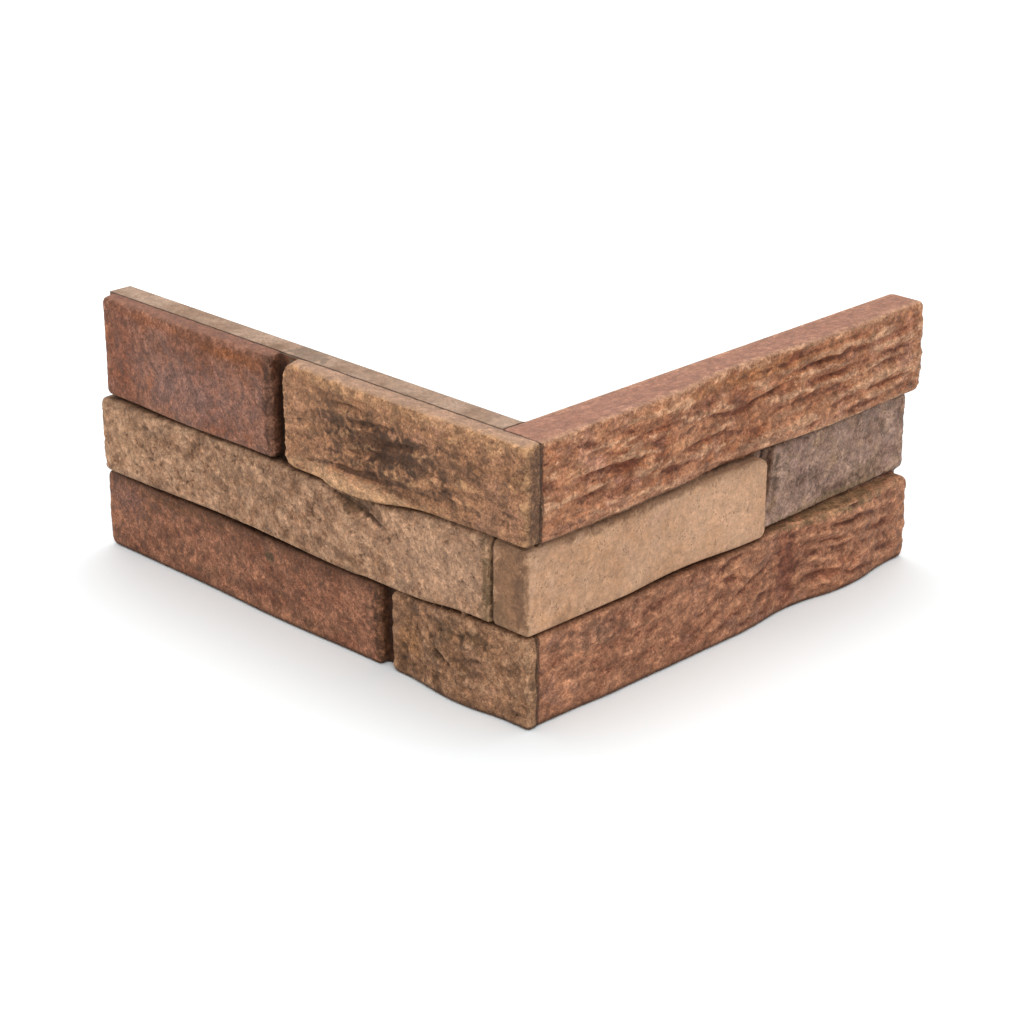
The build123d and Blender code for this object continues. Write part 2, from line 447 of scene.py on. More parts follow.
lowerRight = {
    "wing": "right",
    "depth": 15.8,
    "openBed": 108,
    "lumps": (16, 10, 0.45),
    "streaks": (10, 4.0, 0.65),
    "cracks": (12, 5, 0.3),
    "grain": (2.2, 1.7, 0.28),
    "chip": 0.25,
    "endWave": 0.5,
    "shadeAndGrime": (0.6, 1.2),
    "lines": [("along", -8.9)],
    "ripples": [(124, 186, 5.2, -7, 0.36), (66, 112, 7.0, 24, 0.24)],
    "dents": [(30, 28, 7, 3, 0.5), (6, 26, 5, 4, 0.4), (119, 18, 6, 22, 0.7)],
    "crevices": [
        (2.0, 0.5, [(88, 15), (98, 18), (109, 22), (120, 25)]),
        (1.8, 0.4, [(77, 25.4), (87, 23), (97, 20.6)]),
        (1.8, 0.7, [(82, 31), (94, 30.6), (102, 32)]),
        (1.6, 0.4, [(125, 23), (139, 21.5), (151, 20.3)]),
        (1.6, 0.4, [(126, 28), (142, 26.6), (160, 25)]),
        (1.6, 0.4, [(129, 18.6), (145, 15.5), (163, 12.2)]),
        (1.6, 0.4, [(124, 11), (141, 9.2), (152, 8.2)]),
        (1.5, 0.7, [(160, 19), (172, 17.5), (182, 18)]),
    ],
    "palette": [
        (0.32, (136, 87, 63)),
        (0.45, (152, 103, 77)),
        (0.57, (163, 113, 85)),
        (0.7, (176, 121, 89)),
    ],
    "creviceDirtAndShade": (102, 60, 45),
    "ridgeWearAndHighlight": (198, 142, 108),
    "patch": 14,
    "brush": (16, 2.2, 0.24),
    "wearAndHighlight": 0.55,
    "contrast": 0.9,
    "pits": (2.4, 0.4),
    "accents": [((172, 112, 80), 8, 0.25), ((150, 112, 98), 10, 0.4)],
    "stains": [
        (119, 18, 6, 20, (122, 70, 52), 0.8),
        (16, 25, 16, 6, (130, 96, 78), 0.5),
        (150, 32, 46, 2.0, (140, 112, 80), 0.8),
        (150, 8, 20, 5, (164, 98, 68), 0.4),
    ],
}
slips = {
    "upperLeft": upperLeft,
    "upperCorner": upperCorner,
    "upperRight": upperRight,
    "middleLeft": middleLeft,
    "middleCorner": middleCorner,
    "middleRight": middleRight,
    "lowerLeft": lowerLeft,
    "lowerCorner": lowerCorner,
    "lowerRight": lowerRight,
}
slipNames = list(slips)


def applyModifier(piece, kind, **settings):
    modifier = piece.modifiers.new(kind.lower(), kind)
    for key, value in settings.items():
        setattr(modifier, key, value)
    bpy.context.view_layer.objects.active = piece
    bpy.ops.object.modifier_apply(modifier=modifier.name)


def bedLevel(bed, along):
    near, far = bed["step"]
    share = np.clip((along - near) / (far - near), 0, 1)
    return bed["corner"] + (bed["left"] - bed["corner"]) * share * share * (3 - 2 * share)


# Which slip each place belongs to, with the panel behind them as the last number
def sortIntoSlips(x, y, z):
    upper = z > bedLevel(joints["highBed"], y)
    lower = z < bedLevel(joints["lowBed"], y)
    lapped = (x < joints["cornerSeam"]) | (y > 0)
    order = np.full(len(x), len(slips))
    choices = [
        (upper & lapped, np.where(y > joints["upperLeft"], 0, 1)),
        (upper & ~lapped, np.full(len(x), 2)),
        (~upper & ~lower & (y > 0), np.full(len(x), 3)),
        (~upper & ~lower & (y <= 0), np.where(x < joints["middleRight"], 4, 5)),
        (lower & lapped, np.where(y > joints["lowerLeft"], 6, 7)),
        (lower & ~lapped, np.full(len(x), 8)),
    ]
    for chosen, number in choices:
        order = np.where(chosen, number, order)
    behindLeft = (y > 0) & (x > joints["leftSeam"])
    behindRight = (x > joints["cornerSeam"]) & (y <= 0) & (y > np.where(upper, -0.1, joints["rightSeam"]))
    return np.where(behindLeft | behindRight, len(slips), order)


def fractalField(along, level, sizeAlong, sizeUp, octaves, seed):
    places = zip(along / sizeAlong, level / sizeUp)
    return np.array([noise.fractal((a, b, seed), 0.9, 2.0, octaves) for a, b in places])


def creviceDepth(along, level, width, depth, path):
    nearest = np.full(len(along), 1e9)
    share = np.zeros(len(along))
    spans = [math.dist(first, second) for first, second in zip(path, path[1:])]
    done = 0.0
    for (first, second), span in zip(zip(path, path[1:]), spans):
        run, rise = second[0] - first[0], second[1] - first[1]
        part = np.clip(((along - first[0]) * run + (level - first[1]) * rise) / span**2, 0, 1)
        away = np.hypot(along - first[0] - part * run, level - first[1] - part * rise)
        share = np.where(away < nearest, (done + part * span) / sum(spans), share)
        nearest = np.minimum(nearest, away)
        done += span
    taper = np.sqrt(np.sin(np.pi * np.clip(share, 0.04, 0.96)))
    return depth * taper * np.clip(1 - nearest / (width * taper), 0, 1) ** 1.4


# Heights of a split face over its plain one, in mm, and a value for the painted highlight and wear on its
# ridges and the painted shade and dirt in its crevices
def faceRelief(slip, along, level, seed):
    wobble = casting["wobble"]
    strayAlong = along + wobble * fractalField(along, level, 7, 7, 2, seed + 0.3)
    strayLevel = level + wobble * fractalField(along, level, 7, 5, 2, seed + 5.7)
    lumps = slip["lumps"][2] * fractalField(along, level, *slip["lumps"][:2], 3, seed)
    streaks = fractalField(strayAlong, strayLevel, *slip["streaks"][:2], 3, seed + 11.3)
    streaks *= slip["streaks"][2]
    grain = slip["grain"][2] * fractalField(along, level, *slip["grain"][:2], 2, seed + 17.9)
    line = np.abs(fractalField(strayAlong, strayLevel, *slip["cracks"][:2], 2, seed + 23.1))
    reach = np.clip(0.5 + fractalField(along, level, 16, 9, 2, seed + 29.5), 0, 1)
    streaks -= slip["cracks"][2] * reach * np.clip(1 - line / casting["crackWidth"], 0, 1)
    for centre, height, length, rise, depth in slip["dents"]:
        away = ((strayAlong - centre) / length) ** 2 + ((strayLevel - height) / rise) ** 2
        lumps -= depth * np.exp(-away)
    for start, stop, spacing, rise, height in slip.get("ripples", ()):
        across = strayLevel - math.tan(math.radians(rise)) * strayAlong
        band = np.clip((along - start) / 10, 0, 1) * np.clip((stop - along) / 10, 0, 1)
        streaks += band * height * np.sin(2 * np.pi * across / spacing)
    dirtAndShade = np.zeros(len(along))
    for width, depth, path in slip["crevices"]:
        cut = creviceDepth(strayAlong, strayLevel, width, depth, path)
        streaks -= cut
        dirtAndShade = np.maximum(dirtAndShade, cut)
    return lumps + streaks + grain, 0.5 * lumps + streaks - casting["dirtAndShade"] * dirtAndShade


def makeCasting():
    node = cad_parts["veneer_corner"]
    bpy.ops.object.select_all(action="DESELECT")
    piece = bpy.data.objects.new("veneerCorner", node.data.copy())
    bpy.context.collection.objects.link(piece)
    piece.select_set(True)
    bpy.context.view_layer.objects.active = piece
    bpy.ops.object.mode_set(mode="EDIT")
    bpy.ops.mesh.select_all(action="SELECT")
    bpy.ops.mesh.remove_doubles(threshold=casting["merge"])
    bpy.ops.object.mode_set(mode="OBJECT")

    # The fine seams are closed here, because a voxel is as wide as they are, and cut again at the end
    top = cadBox[1][2]
    for vertex in piece.data.vertices:
        onLeft = abs(vertex.co.x + leftSeamLine) < casting["seamReach"]
        onCorner = abs(vertex.co.y) < casting["seamReach"] and vertex.co.x < mm
        if top - 2 * casting["seamDepth"] < vertex.co.z and (onLeft or onCorner):
            vertex.co.z = top
    applyModifier(piece, "REMESH", mode="VOXEL", voxel_size=casting["voxel"])
    applyModifier(piece, "SMOOTH", factor=0.5, iterations=casting["softening"])
    print("casting remeshed", len(piece.data.polygons))
    return piece


# Painted shade and grime beside the bed joints: how strong and how wide it is under the joint over a slip
def bedShadeAndGrime(upperEdge, along, level):
    share, reach = upperEdge
    half = joints["bedJoint"] / 2
    found = np.zeros(len(level))
    for bed in (joints["lowBed"], joints["highBed"]):
        line = bedLevel(bed, along)
        under, over = line - half - level, level - line - half
        found = np.maximum(found, share * np.exp(-np.maximum(under, 0) / reach) * (under > -half))
        found = np.maximum(found, 0.6 * np.exp(-np.maximum(over, 0) / 0.7) * (over > -half))
    return found


def keepInBox(piece):
    places = np.empty(len(piece.data.vertices) * 3)
    piece.data.vertices.foreach_get("co", places)
    inside = np.clip(places.reshape(-1, 3), *(np.array(corner) for corner in cadBox))
    piece.data.vertices.foreach_set("co", inside.ravel())
    piece.data.update()


# A slip's corner drawn in to an ellipse, seen from the front
def roundCorner(places, run, end, edge, length, rise):
    along = (places[:, run] - end + length) / length
    level = (places[:, 2] - edge + rise) / rise
    away = np.hypot(along, level)
    pull = np.where((along > 0) & (level > 0) & (away > 1), 1 / np.maximum(away, 1), 1)
    drawn = places.copy()
    drawn[:, run] = np.where(pull < 1, end - length + along * pull * length, places[:, run])
    drawn[:, 2] = np.where(pull < 1, edge - rise + level * pull * rise, places[:, 2])
    return drawn


def splitFaces(piece):
    mesh = piece.data
    count = len(mesh.vertices)
    places = np.empty(count * 3)
    normals = np.empty(count * 3)
    mesh.vertices.foreach_get("co", places)
    mesh.vertex_normals.foreach_get("vector", normals)
    places = places.reshape(-1, 3) / mm
    normals = normals.reshape(-1, 3)  # a view, filled again below
    order = sortIntoSlips(*places.T)
    shade = np.zeros(count)
    shadeAndGrime = np.zeros(count)
    for number, name in enumerate(slipNames):
        slip = slips[name]
        out, run = (0, 1) if slip["wing"] == "left" else (1, 0)
        members = np.flatnonzero(order == number)
        for corner in slip.get("rounded", ()):
            places[members] = roundCorner(places[members], run, *corner)
        facing = -normals[members, out]
        front = members[facing > 0.15]
        facing = facing[facing > 0.15]
        weight = np.clip((facing - 0.5) / 0.4, 0, 1)
        along, level = places[front, run], places[front, 2]
        weight *= np.clip(level / 5, 0.2, 1) * np.clip((cadBox[1][2] / mm - level) / 4, 0.3, 1)
        height, wearAndHighlight = faceRelief(slip, along, level, 3.1 * number)
        shade[front] = casting["shade"] * weight * wearAndHighlight
        edge = 4 * facing * (1 - np.minimum(facing, 1))
        chips = fractalField(along, level, casting["chipSize"], casting["chipSize"], 3, 40 + number)
        worn = slip["chip"] * edge * np.clip(chips, 0, 1) * np.where(normals[front, 2] < -0.2, 0.3, 1)
        room = places[front, out] - cadBox[0][out] / mm
        height = np.minimum(height - 0.5 * np.clip(1 - room, 0, 1), room)
        places[front, out] -= weight * height
        places[front] -= normals[front] * worn[:, None]
        plain = members[(normals[members, 2] > 0.8) | (np.abs(normals[members, run]) > 0.6)]
        spots = places[plain]
        pitted = np.array([noise.fractal(spot / casting["plainSize"], 0.9, 2.0, 3) for spot in spots])
        waved = np.array([noise.noise(spot / casting["waveSize"]) for spot in spots])
        waved = slip["endWave"] * np.clip(0.4 + waved, 0, 1) * (np.abs(normals[plain, run]) > 0.6)
        sunk = casting["plainGrain"] * np.clip(pitted, 0, 1) + waved
        places[plain] -= normals[plain] * sunk[:, None]
        # Painted shade and grime beside the bed joints and a painted contact shade along the foot
        shadeAndGrime[members] = bedShadeAndGrime(slip["shadeAndGrime"], places[members, 1], places[members, 2])
        if "openBed" in slip:
            shadeAndGrime[members] *= np.clip((slip["openBed"] - places[members, run]) / 6, 0.15, 1)
        foot = np.clip(2.2 - places[members, 2], 0, 1)
        shadeAndGrime[members] = np.maximum(shadeAndGrime[members], casting["footShade"] * foot)
    mesh.vertices.foreach_set("co", (places * mm).ravel())
    mesh.update()

    # Height of each place over an evened face, which paints highlight and wear on the ridges and shade and
    # dirt in the crevices
    ends = np.empty(len(mesh.edges) * 2, dtype=np.int32)
    mesh.edges.foreach_get("vertices", ends)
    first, second = ends.reshape(-1, 2).T
    neighbours = np.bincount(first, minlength=count) + np.bincount(second, minlength=count)
    mesh.vertex_normals.foreach_get("vector", normals.ravel())
    even = places.copy()
    for step in range(casting["smoothing"]):
        for axis in range(3):
            column = even[:, axis]
            total = np.bincount(first, column[second], count) + np.bincount(second, column[first], count)
            even[:, axis] = total / neighbours
    heights = casting["local"] * np.sum((places - even) * normals, axis=1) + shade
    for name, values in (("relief", heights), ("shadeAndGrime", shadeAndGrime)):
        attribute = mesh.attributes.new(name, "FLOAT", "POINT")
        attribute.data.foreach_set("value", values)
    print("faces split")
    applyModifier(piece, "DECIMATE", ratio=casting["triangles"] / (2 * len(mesh.polygons)))
    applyModifier(piece, "TRIANGULATE")  # so that the seams leave no many-sided faces
    keepInBox(piece)
    print("casting thinned", len(piece.data.polygons))


def cutSeams(piece):
    low, high = (Vector(corner) for corner in cadBox)
    width, depth = casting["seamWidth"], casting["seamDepth"]
    bpy.ops.object.select_all(action="DESELECT")
    runs = [
        ((-leftSeamLine, (low.y + high.y) / 2, high.z), (width, high.y - low.y + 2 * mm, 2 * depth)),
        ((-leftSeamLine / 2, 0, high.z), (leftSeamLine, width, 2 * depth)),
    ]
    for place, size in runs:
        bpy.ops.mesh.primitive_cube_add(size=1, location=place)
        cutter = bpy.context.object
        cutter.dimensions = size
        bpy.ops.object.transform_apply(location=True, rotation=True, scale=True)
        applyModifier(piece, "BOOLEAN", operation="DIFFERENCE", object=cutter, solver="MANIFOLD")
        bpy.data.objects.remove(cutter)
    print("seams cut", len(piece.data.polygons))


# Materials
def paint(red, green, blue):
    shares = [value / 255 for value in (red, green, blue)]
    linear = [s / 12.92 if s <= 0.04045 else ((s + 0.055) / 1.055) ** 2.4 for s in shares]
    return (*linear, 1.0)


def addNode(tree, kind, inputs, **settings):
    made = tree.nodes.new("ShaderNode" + kind)
    for key, value in settings.items():
        setattr(made, key, value)
    for key, value in inputs.items():
        if isinstance(value, bpy.types.NodeSocket):
            tree.links.new(value, made.inputs[key])
        else:
            made.inputs[key].default_value = value
    return made


def mixColours(tree, factor, first, second):
    return addNode(tree, "Mix", {0: factor, 6: first, 7: second}, data_type="RGBA").outputs[2]


def fade(tree, value, start, stop, low=0.0, high=1.0):
    inputs = {0: value, 1: start, 2: stop, 3: low, 4: high}
    return addNode(tree, "MapRange", inputs, interpolation_type="SMOOTHSTEP").outputs[0]


def calculate(tree, operation, first, second):
    return addNode(tree, "Math", {0: first, 1: second}, operation=operation).outputs[0]


def product(tree, *values):
    result = values[0]
    for value in values[1:]:
        result = calculate(tree, "MULTIPLY", result, value)
    return result


def noiseField(tree, place, size, detail=4.0, roughness=0.6, distortion=0.0):
    inputs = {"Vector": place, "Scale": 1 / size, "Detail": detail, "Roughness": roughness}
    inputs["Distortion"] = distortion
    return addNode(tree, "TexNoise", inputs).outputs[0]


def colourRamp(tree, value, stops):
    ramp = addNode(tree, "ValToRGB", {0: value}).color_ramp
    while len(ramp.elements) < len(stops):
        ramp.elements.new(0.5)
    for element, (position, colour) in zip(ramp.elements, stops):
        element.position = position
        element.color = paint(*colour)
    return tree.nodes[-1].outputs[0]


# Places in mm, as along the wing, out from the wall and up
def wingPlace(tree, wing):
    source = addNode(tree, "TexCoord", {}).outputs["Object"]
    turn = math.radians(-90) if wing == "left" else 0.0
    flip = 1.0 if wing == "left" else -1.0
    scale = (1 / mm, flip / mm, 1 / mm)
    return addNode(tree, "Mapping", {"Vector": source, "Rotation": (0, 0, turn), "Scale": scale}).outputs[0]


finish = {
    "lightness": 1.12,
    "mottle": 3.6,  # sizes of the grain, in mm
    "swirl": 1.7,
    "speck": 0.85,
    "curl": 2.8,
    "strokeLevels": (0.57, 0.42),  # of the curled field, for light strokes and dark ones
    "strokeWidth": 0.05,
    "strokes": (0.30, 0.30),  # how much lighter and darker the fine strokes are
    "roughness": (0.58, 0.78),
    "specular": 0.22,
    # Colour of the dirt in the fine seams and of the painted shade in the joints
    "joint": (40, 25, 15),
    # Colour of the painted shade and grime under the bed joints and along the foot
    "shadeAndGrime": (50, 31, 19),
    "lineReach": (0.8, 0.3),
    "seamDirt": (0.15 * mm, 0.6 * mm),
    "bumpDistance": 0.45 * mm,
    "bumpStrength": 0.7,
    "grainHeight": 0.6,  # as shares of the mottle's height
    "pitDepth": 0.5,
    "strokeHeight": 0.2,
    "bedLevel": (98.4, 99.4),  # the upper bed, by its level and how far it faces up
    "bedFacing": (0.45, 0.85),
    "jointFade": (100, 93),  # the painted shade in the joints is lighter where they come out at the upper bed
    "freeEnds": {"left": 199, "right": 186},
    "lap": -9,  # the slips that turn the corner show their ends beyond this
}


# How near a place is to the seams behind the left wing's slips and across the corner
def seamShare(tree):
    spot = addNode(tree, "SeparateXYZ", {0: addNode(tree, "TexCoord", {}).outputs["Object"]}).outputs
    reach = finish["seamDirt"]
    away = calculate(tree, "ABSOLUTE", calculate(tree, "ADD", spot[0], leftSeamLine), 0.0)
    behind = fade(tree, away, reach[1], reach[0])
    away = calculate(tree, "ABSOLUTE", spot[1], 0.0)
    inside = fade(tree, spot[0], -leftSeamLine - reach[1], -leftSeamLine)
    across = product(tree, fade(tree, away, reach[1], reach[0]), fade(tree, spot[0], reach[1], 0.0), inside)
    return product(tree, calculate(tree, "MAXIMUM", behind, across), 0.75)


def startMaterial(name):
    material = bpy.data.materials.new(name)
    material.use_nodes = True
    tree = material.node_tree
    tree.nodes.clear()
    return material, tree


def endMaterial(tree, colour, mottle, grain, pits, scale):
    roughness = fade(tree, mottle, 0.3, 0.7, *finish["roughness"])
    height = calculate(tree, "ADD", mottle, product(tree, grain, finish["grainHeight"]))
    height = calculate(tree, "SUBTRACT", height, product(tree, pits, finish["pitDepth"]))
    bump = addNode(tree, "Bump", {"Height": height, "Distance": finish["bumpDistance"] * scale})
    bump.inputs["Strength"].default_value = finish["bumpStrength"]
    inputs = {"Base Color": colour, "Roughness": roughness, "Normal": bump.outputs[0]}
    shader = addNode(tree, "BsdfPrincipled", inputs)
    shader.inputs["Specular IOR Level"].default_value = finish["specular"]
    addNode(tree, "OutputMaterial", {"Surface": shader.outputs[0]})


# Fine curled strokes, where a field comes near one value
def strokeShare(tree, field, middle):
    away = calculate(tree, "ABSOLUTE", calculate(tree, "SUBTRACT", field, middle), 0.0)
    return fade(tree, away, finish["strokeWidth"], 0.0)


# Soft-edged patch round a place; a half size of 0 leaves that direction out
def patchShare(tree, place, mottle, middle, halves):
    scale = [1 / half if half else 0.0 for half in halves]
    shift = [-spot * share for spot, share in zip(middle, scale)]
    offset = addNode(tree, "Mapping", {"Vector": place, "Location": shift, "Scale": scale}).outputs[0]
    away = addNode(tree, "VectorMath", {0: offset}, operation="LENGTH").outputs["Value"]
    ragged = calculate(tree, "ADD", away, fade(tree, mottle, 0.25, 0.75, -0.4, 0.4))
    return fade(tree, ragged, 1.25, 0.3)


def slipMaterial(name, slip):
    material, tree = startMaterial(name)
    place = wingPlace(tree, slip["wing"])
    parts = addNode(tree, "SeparateXYZ", {0: place}).outputs
    broad = noiseField(tree, place, slip["patch"], 5.0, 0.62)
    mottle = noiseField(tree, place, finish["mottle"], 3.0, 0.55, 0.6)
    swirl = noiseField(tree, place, finish["swirl"], 2.0, 0.5, 1.6)
    speck = noiseField(tree, place, finish["speck"], 2.0, 0.6, 1.0)
    curl = noiseField(tree, place, finish["curl"], 1.0, 0.5, 2.0)
    lightStrokes, darkStrokes = (strokeShare(tree, curl, level) for level in finish["strokeLevels"])
    colour = colourRamp(tree, broad, slip["palette"])

    # Fine brushed grain, turned on the face
    angle, stretch, strength = slip["brush"]
    turned = addNode(tree, "Mapping", {"Vector": place, "Rotation": (0, math.radians(angle), 0)}).outputs[0]
    drawn = addNode(tree, "Mapping", {"Vector": turned, "Scale": (1 / stretch, 1, 1)}).outputs[0]
    brush = noiseField(tree, drawn, 2.0, 3.0, 0.6, 0.8)

    for accent, size, share in slip["accents"]:
        spread = noiseField(tree, place, size, 4.0, 0.7)
        colour = mixColours(tree, fade(tree, spread, 0.52, 0.68, 0.0, share), colour, paint(*accent))

    for along, level, length, rise, stain, share in slip["stains"]:
        patch = patchShare(tree, place, mottle, (along, 0, level), (length, 0, rise))
        colour = mixColours(tree, product(tree, patch, share), colour, paint(*stain))
    for out, level, width, rise, stain, share in slip.get("endStains", ()):
        patch = patchShare(tree, place, mottle, (0, out, level), (0, width, rise))
        onEnd = fade(tree, parts[0], slip["lapEnd"] + 2.0, slip["lapEnd"] + 0.7, 0.0, share)
        colour = mixColours(tree, product(tree, patch, onEnd), colour, paint(*stain))

    # Plain upper bed
    level = parts[2]
    normal = addNode(tree, "NewGeometry", {}).outputs["Normal"]
    upright = addNode(tree, "SeparateXYZ", {0: normal}).outputs[2]
    top = product(tree, fade(tree, level, *finish["bedLevel"]), fade(tree, upright, *finish["bedFacing"]))
    if "bed" in slip:
        colour = mixColours(tree, product(tree, top, 0.8), colour, paint(*slip["bed"]))

    contrast = slip["contrast"]
    # Painted highlight and wear on the ridges, painted shade and dirt in the crevices, from the relief
    # attribute
    relief = addNode(tree, "Attribute", {}, attribute_name="relief").outputs["Fac"]
    uneven = calculate(tree, "ADD", relief, fade(tree, swirl, 0.2, 0.8, -0.12, 0.12))
    worn = fade(tree, uneven, 0.02, 0.5, 0.0, slip["wearAndHighlight"])
    worn = product(tree, worn, fade(tree, mottle, 0.35, 0.62, 0.5, 1.0))
    colour = mixColours(tree, worn, colour, paint(*slip["ridgeWearAndHighlight"]))
    colour = mixColours(tree, fade(tree, uneven, -0.06, -0.75, 0.0, 0.85), colour, paint(*slip["creviceDirtAndShade"]))

    # Grain and dark grit
    tone = product(
        tree,
        fade(tree, mottle, 0.32, 0.68, 1 - 0.28 * contrast, 1 + 0.26 * contrast),
        fade(tree, swirl, 0.28, 0.72, 1 - 0.20 * contrast, 1 + 0.20 * contrast),
        fade(tree, speck, 0.28, 0.72, 1 - 0.12 * contrast, 1 + 0.12 * contrast),
        fade(tree, brush, 0.32, 0.68, 1 - strength, 1 + strength),
        fade(tree, lightStrokes, 0.0, 1.0, 1.0, 1 + finish["strokes"][0] * contrast),
        fade(tree, darkStrokes, 0.0, 1.0, 1.0, 1 - finish["strokes"][1] * contrast),
    )
    tone = addNode(tree, "Mix", {0: product(tree, top, 0.45), 2: tone, 3: 1.0}).outputs[0]
    tone = product(tree, tone, finish["lightness"])
    colour = addNode(tree, "HueSaturation", {"Value": tone, "Color": colour}).outputs[0]
    size, share = slip["pits"]
    astray = addNode(tree, "VectorMath", {0: place, 1: swirl}, operation="ADD").outputs[0]
    cells = addNode(tree, "TexVoronoi", {"Vector": astray, "Scale": 1 / size})
    rare = fade(tree, noiseField(tree, place, 5.0, 2.0), 0.5, 0.6)
    notTop = calculate(tree, "SUBTRACT", 1.0, top)
    pits = product(tree, fade(tree, cells.outputs["Distance"], 0.38, 0.1), rare, notTop)
    colour = mixColours(tree, product(tree, pits, share), colour, paint(*slip["creviceDirtAndShade"]))

    # Painted shade and grime under the bed joints and along the foot
    shadeAndGrime = addNode(tree, "Attribute", {}, attribute_name="shadeAndGrime").outputs["Fac"]
    shadeAndGrime = product(tree, shadeAndGrime, fade(tree, mottle, 0.3, 0.6, 0.55, 1.0))
    colour = mixColours(tree, shadeAndGrime, colour, paint(*finish["shadeAndGrime"]))

    # Dirt in the fine seams of the upper bed
    colour = mixColours(tree, product(tree, top, seamShare(tree)), colour, paint(*finish["joint"]))

    # Painted shade in the joints: they are darker than the faces, more so deeper in, with the dark seam
    # lines added
    along, out = parts[0], parts[1]
    freeEnd = finish["freeEnds"][slip["wing"]]
    jointShadeAndLines = product(
        tree,
        fade(tree, out, slip["depth"] - 2.5, slip["depth"] - 5.5, 0.0, 0.9),
        notTop,
        fade(tree, along, freeEnd + 2, freeEnd),
        fade(tree, along, finish["lap"] - 2, finish["lap"]),
        fade(tree, level, 0.5, 2.0),
        fade(tree, level, *finish["jointFade"], 0.35, 1.0),
    )
    if "openBed" in slip:
        jointShadeAndLines = product(tree, jointShadeAndLines, fade(tree, along, slip["openBed"] + 3, slip["openBed"]))
    for axis, line in slip["lines"]:
        away = calculate(tree, "SUBTRACT", along if axis == "along" else out, line)
        near = fade(tree, calculate(tree, "ABSOLUTE", away, 0.0), *finish["lineReach"], 0.0, 0.7)
        jointShadeAndLines = calculate(tree, "MAXIMUM", jointShadeAndLines, product(tree, near, notTop))
    colour = mixColours(tree, jointShadeAndLines, colour, paint(*finish["joint"]))
    strokes = calculate(tree, "SUBTRACT", lightStrokes, darkStrokes)
    grain = calculate(tree, "ADD", swirl, product(tree, strokes, finish["strokeHeight"]))
    endMaterial(tree, colour, mottle, grain, pits, 1.0)
    return material


# Panel behind the slips: plain cast faces
panel = {
    "palette": [
        (0.32, (152, 122, 100)),
        (0.45, (172, 142, 120)),
        (0.57, (184, 155, 134)),
        (0.7, (196, 168, 146)),
    ],
    "stain": (138, 116, 98),
    "stainAlong": 98,
    "stainHalf": 8,
    "patch": 22,
    "pitSize": 3.4,
    "bedLevel": (99.3, 99.7),
    "leftFloor": (8.5, 9.1),  # out from the wall, where the joints' floors begin
    "rightFloor": (6.7, 7.2),
    "leftEnd": (203, 201),  # along, where the free ends begin
    "rightEnd": (187.5, 185.5),
}


def panelMaterial():
    material, tree = startMaterial("panelBack")
    place = wingPlace(tree, "left")
    broad = noiseField(tree, place, panel["patch"], 5.0, 0.6)
    mottle = noiseField(tree, place, finish["mottle"], 6.0, 0.66)
    speck = noiseField(tree, place, finish["speck"], 2.0, 0.6)
    colour = colourRamp(tree, broad, panel["palette"])
    parts = addNode(tree, "SeparateXYZ", {0: place}).outputs
    away = calculate(tree, "ABSOLUTE", calculate(tree, "SUBTRACT", parts[0], panel["stainAlong"]), 0.0)
    ragged = calculate(tree, "ADD", away, fade(tree, mottle, 0.25, 0.75, -4.0, 4.0))
    stained = fade(tree, ragged, panel["stainHalf"] + 2, panel["stainHalf"] - 2)
    stained = product(tree, stained, fade(tree, parts[2], 90, 99))
    colour = mixColours(tree, product(tree, stained, 0.75), colour, paint(*panel["stain"]))
    tone = product(
        tree,
        fade(tree, mottle, 0.32, 0.68, 0.82, 1.16),
        fade(tree, speck, 0.28, 0.72, 0.84, 1.14),
    )
    colour = addNode(tree, "HueSaturation", {"Value": tone, "Color": colour}).outputs[0]
    cells = addNode(tree, "TexVoronoi", {"Vector": place, "Scale": 1 / panel["pitSize"]})
    pits = fade(tree, cells.outputs["Distance"], 0.22, 0.08)
    top = fade(tree, parts[2], *panel["bedLevel"])
    right = addNode(tree, "SeparateXYZ", {0: wingPlace(tree, "right")}).outputs

    # Painted shade on the floors of the joints between the slips, lighter towards the upper bed
    floors = []
    for side, spot in (("left", parts), ("right", right)):
        reached = fade(tree, spot[1], *panel[side + "Floor"])
        floors.append(product(tree, reached, fade(tree, spot[0], *panel[side + "End"])))
    shown = calculate(tree, "MAXIMUM", *floors)
    lower = fade(tree, parts[2], *finish["jointFade"], 0.3, 0.9)
    shown = product(tree, shown, calculate(tree, "SUBTRACT", 1.0, top), lower)
    colour = mixColours(tree, shown, colour, paint(*finish["joint"]))
    colour = mixColours(tree, product(tree, top, seamShare(tree)), colour, paint(*finish["joint"]))
    endMaterial(tree, colour, mottle, speck, pits, 0.7)
    return material


def dressFaces(piece):
    mesh = piece.data
    for name in slipNames:
        mesh.materials.append(slipMaterial(name, slips[name]))
    mesh.materials.append(panelMaterial())
    centres = np.empty(len(mesh.polygons) * 3)
    mesh.polygons.foreach_get("center", centres)
    x, y, z = centres.reshape(-1, 3).T / mm
    mesh.polygons.foreach_set("material_index", sortIntoSlips(x, y, z).astype(np.int32))
    bpy.ops.object.select_all(action="DESELECT")
    piece.select_set(True)
    bpy.context.view_layer.objects.active = piece
    bpy.ops.object.shade_smooth()
    print("faces dressed")


veneerCorner = makeCasting()
splitFaces(veneerCorner)
cutSeams(veneerCorner)
keepInBox(veneerCorner)
veneerCorner.data.materials.clear()
dressFaces(veneerCorner)
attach(veneerCorner, "root")
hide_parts("veneer_corner")

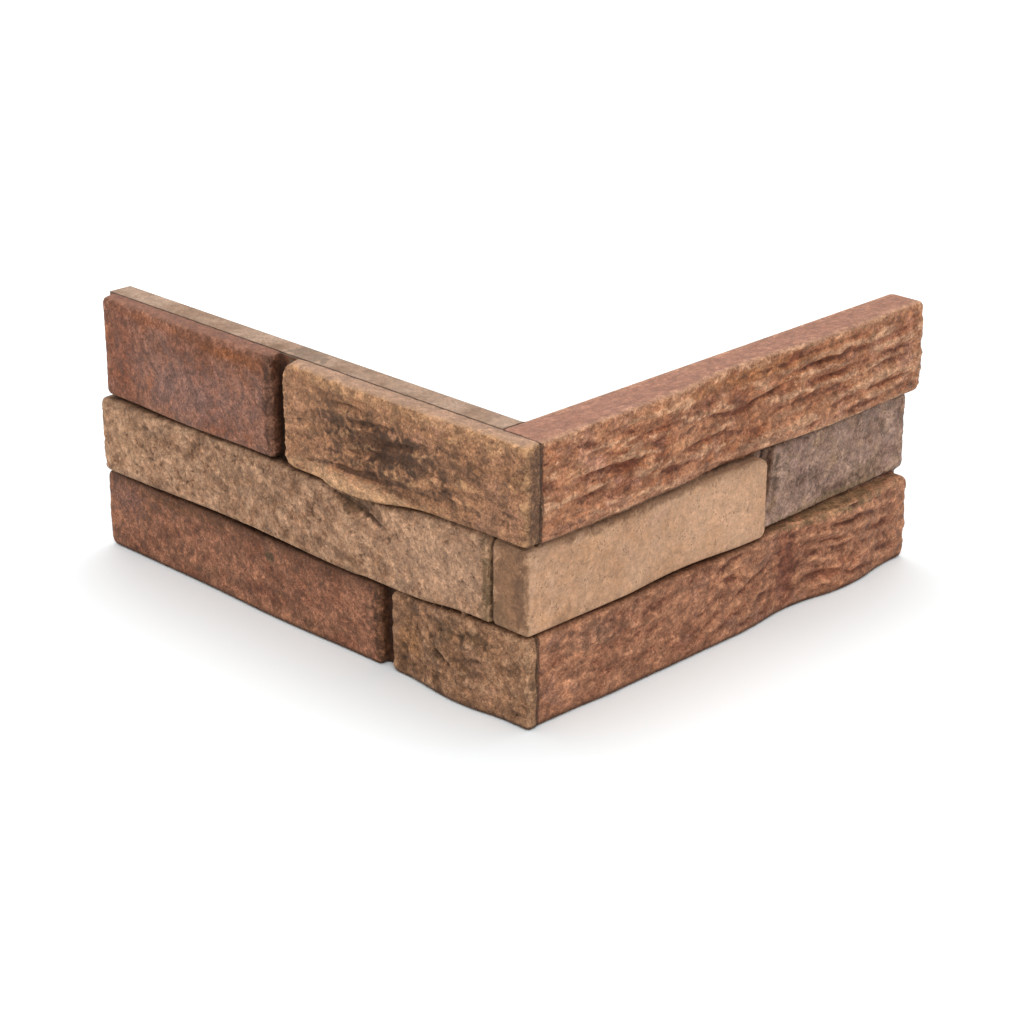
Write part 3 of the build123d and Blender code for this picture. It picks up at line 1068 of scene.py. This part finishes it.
# Studio: pale floor, soft overhead light and a fill from the camera's side
studio = {
    "floorSize": 8.0,
    "floorLit": 0.8,
    "floorSeen": (1.13, 1.7),  # how light the camera sees it, near the panel and far from it
    "seenReach": (0.25, 0.9),
    "floorTint": (0.964, 1.0, 1.012),  # evens out the bricks' warm bounce
    "ambient": 0.8,
    "softboxes": [
        {"place": (0.3, 0.3, 1.1), "size": 0.8, "power": 5.0},
        {"place": (-0.75, -0.75, 1.1), "size": 0.9, "power": 7.0},
    ],
    "target": (0.05, 0.05, 0.05),
    "camera": (-0.54283, -0.53642, 0.38341),
    "yaw": 45.05,  # degrees right of +Y
    "pitch": 22.39,  # degrees down
    "focalPixels": 2561.58,
    "imagePixels": 1024.0,
    "sensor": 36.0,
}


def cameraShare(tree):
    rays = addNode(tree, "LightPath", {}).outputs
    seen = calculate(tree, "MAXIMUM", rays["Is Camera Ray"], rays["Is Glossy Ray"])
    return calculate(tree, "MAXIMUM", seen, rays["Is Transmission Ray"])


def makeFloor():
    bpy.ops.object.select_all(action="DESELECT")
    bpy.ops.mesh.primitive_plane_add(size=studio["floorSize"], location=(0, 0, 0))
    floor = bpy.context.object
    floor.name = "studioFloor"
    material, tree = startMaterial("paleFloor")
    away = addNode(tree, "TexCoord", {}).outputs["Object"]
    away = addNode(tree, "VectorMath", {0: away}, operation="LENGTH").outputs["Value"]
    seen = fade(tree, away, *studio["seenReach"], *studio["floorSeen"])
    tone = addNode(tree, "Mix", {0: cameraShare(tree), 2: studio["floorLit"], 3: seen}).outputs[0]
    shares = {channel: product(tree, tone, share) for channel, share in enumerate(studio["floorTint"])}
    tint = addNode(tree, "CombineColor", shares)
    surface = addNode(tree, "BsdfDiffuse", {"Color": tint.outputs[0]}).outputs[0]
    addNode(tree, "OutputMaterial", {"Surface": surface})
    floor.data.materials.append(material)


def makeWorld():
    world = bpy.data.worlds.new("studioWorld")
    bpy.context.scene.world = world
    world.use_nodes = True
    tree = world.node_tree
    tree.nodes.clear()
    strength = fade(tree, cameraShare(tree), 0.0, 1.0, studio["ambient"], 1.0)
    light = addNode(tree, "Background", {"Strength": strength}).outputs[0]
    addNode(tree, "OutputWorld", {"Surface": light})


def makeLights():
    for number, box in enumerate(studio["softboxes"]):
        place = Vector(box["place"])
        aim = (Vector(studio["target"]) - place).to_track_quat("-Z", "Y").to_euler()
        bpy.ops.object.light_add(type="AREA", location=place, rotation=aim)
        lamp = bpy.context.object
        lamp.name = f"softbox{number}"
        lamp.data.size = box["size"]
        lamp.data.energy = box["power"]


def makeCamera():
    yaw, pitch = math.radians(studio["yaw"]), math.radians(studio["pitch"])
    ahead = Vector((math.sin(yaw) * math.cos(pitch), math.cos(yaw) * math.cos(pitch), -math.sin(pitch)))
    bpy.ops.object.camera_add(location=studio["camera"], rotation=ahead.to_track_quat("-Z", "Y").to_euler())
    camera = bpy.context.object
    camera.data.sensor_width = studio["sensor"]
    camera.data.lens = studio["focalPixels"] * studio["sensor"] / studio["imagePixels"]
    bpy.context.scene.camera = camera


makeFloor()
makeWorld()
makeLights()
makeCamera()
bpy.context.scene.view_settings.view_transform = "Standard"
print("studio set")
